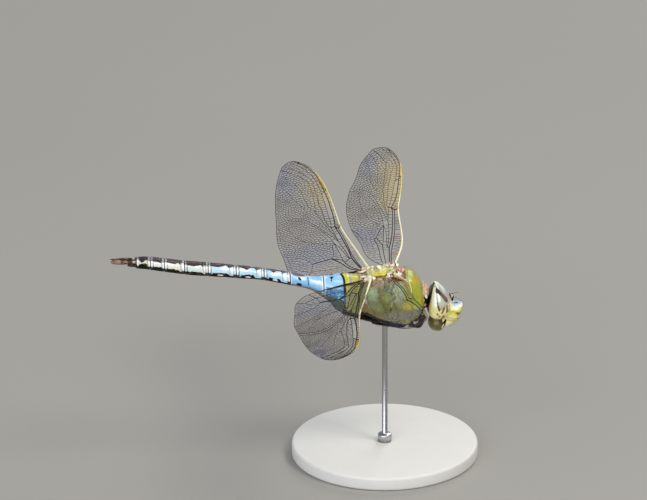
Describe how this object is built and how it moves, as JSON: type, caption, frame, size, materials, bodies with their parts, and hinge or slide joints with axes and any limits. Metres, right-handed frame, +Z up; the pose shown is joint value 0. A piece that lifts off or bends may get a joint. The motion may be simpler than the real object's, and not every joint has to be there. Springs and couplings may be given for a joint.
{
  "type": "dragonfly",
  "caption": "Life-size green darner dragonfly in level flight, wings spread and legs folded, held over a round base by a thin rod.",
  "frame": {"origin": "centre of the underside of the stand's base, on the surface it stands on", "axes": "+X the way the head points, +Y towards the animal's left wings, +Z up"},
  "size_m": [0.079, 0.1067, 0.0531],
  "materials": {
    "green_plate": "smooth green cuticle, satin, with olive and yellow shading",
    "blue_plate": "smooth sky blue cuticle, satin, with black joints and marks",
    "pale_plate": "whitish green cuticle, satin, under a brown dorsal stripe",
    "dark_plate": "black-brown polished cuticle",
    "face_plate": "yellow-green polished cuticle",
    "lip_plate": "olive-brown cuticle, satin",
    "eye_shell": "glassy compound eye, cream to grey with a brown band",
    "wing_membrane": "clear thin membrane with a faint amber tint",
    "wing_vein": "dark brown vein, satin",
    "wing_costa": "pale yellow leading vein and amber wing spot",
    "stand_paint": "pale grey satin, turned disc",
    "stand_steel": "drawn steel rod"
  },
  "bodies": {
    "root": {"abdomen_s1": "green_plate", "abdomen_s2": "blue_plate", "abdomen_s3": "blue_plate", "abdomen_s4": "blue_plate", "abdomen_s5": "blue_plate", "abdomen_s6": "blue_plate", "abdomen_s7": "pale_plate", "abdomen_s8": "pale_plate", "abdomen_s9": "pale_plate", "abdomen_s10": "pale_plate", "thorax": "green_plate", "prothorax": "pale_plate", "cercus_left": "dark_plate", "cercus_right": "dark_plate", "epiproct": "dark_plate", "head_capsule": "dark_plate", "mandible_left": "dark_plate", "mandible_right": "dark_plate", "antenna_left": "dark_plate", "antenna_right": "dark_plate", "leg_fore_left": "dark_plate", "leg_fore_right": "dark_plate", "leg_middle_left": "dark_plate", "leg_middle_right": "dark_plate", "leg_hind_left": "dark_plate", "leg_hind_right": "dark_plate", "frons": "face_plate", "clypeus": "face_plate", "labrum": "face_plate", "labium": "lip_plate", "eye_left": "eye_shell", "wing_fore_left": "wing_membrane", "wing_hind_left": "wing_membrane", "eye_right": "eye_shell", "wing_fore_right": "wing_membrane", "wing_hind_right": "wing_membrane", "stand_base": "stand_paint", "stand_rod": "stand_steel"}
  },
  "joints": []
}
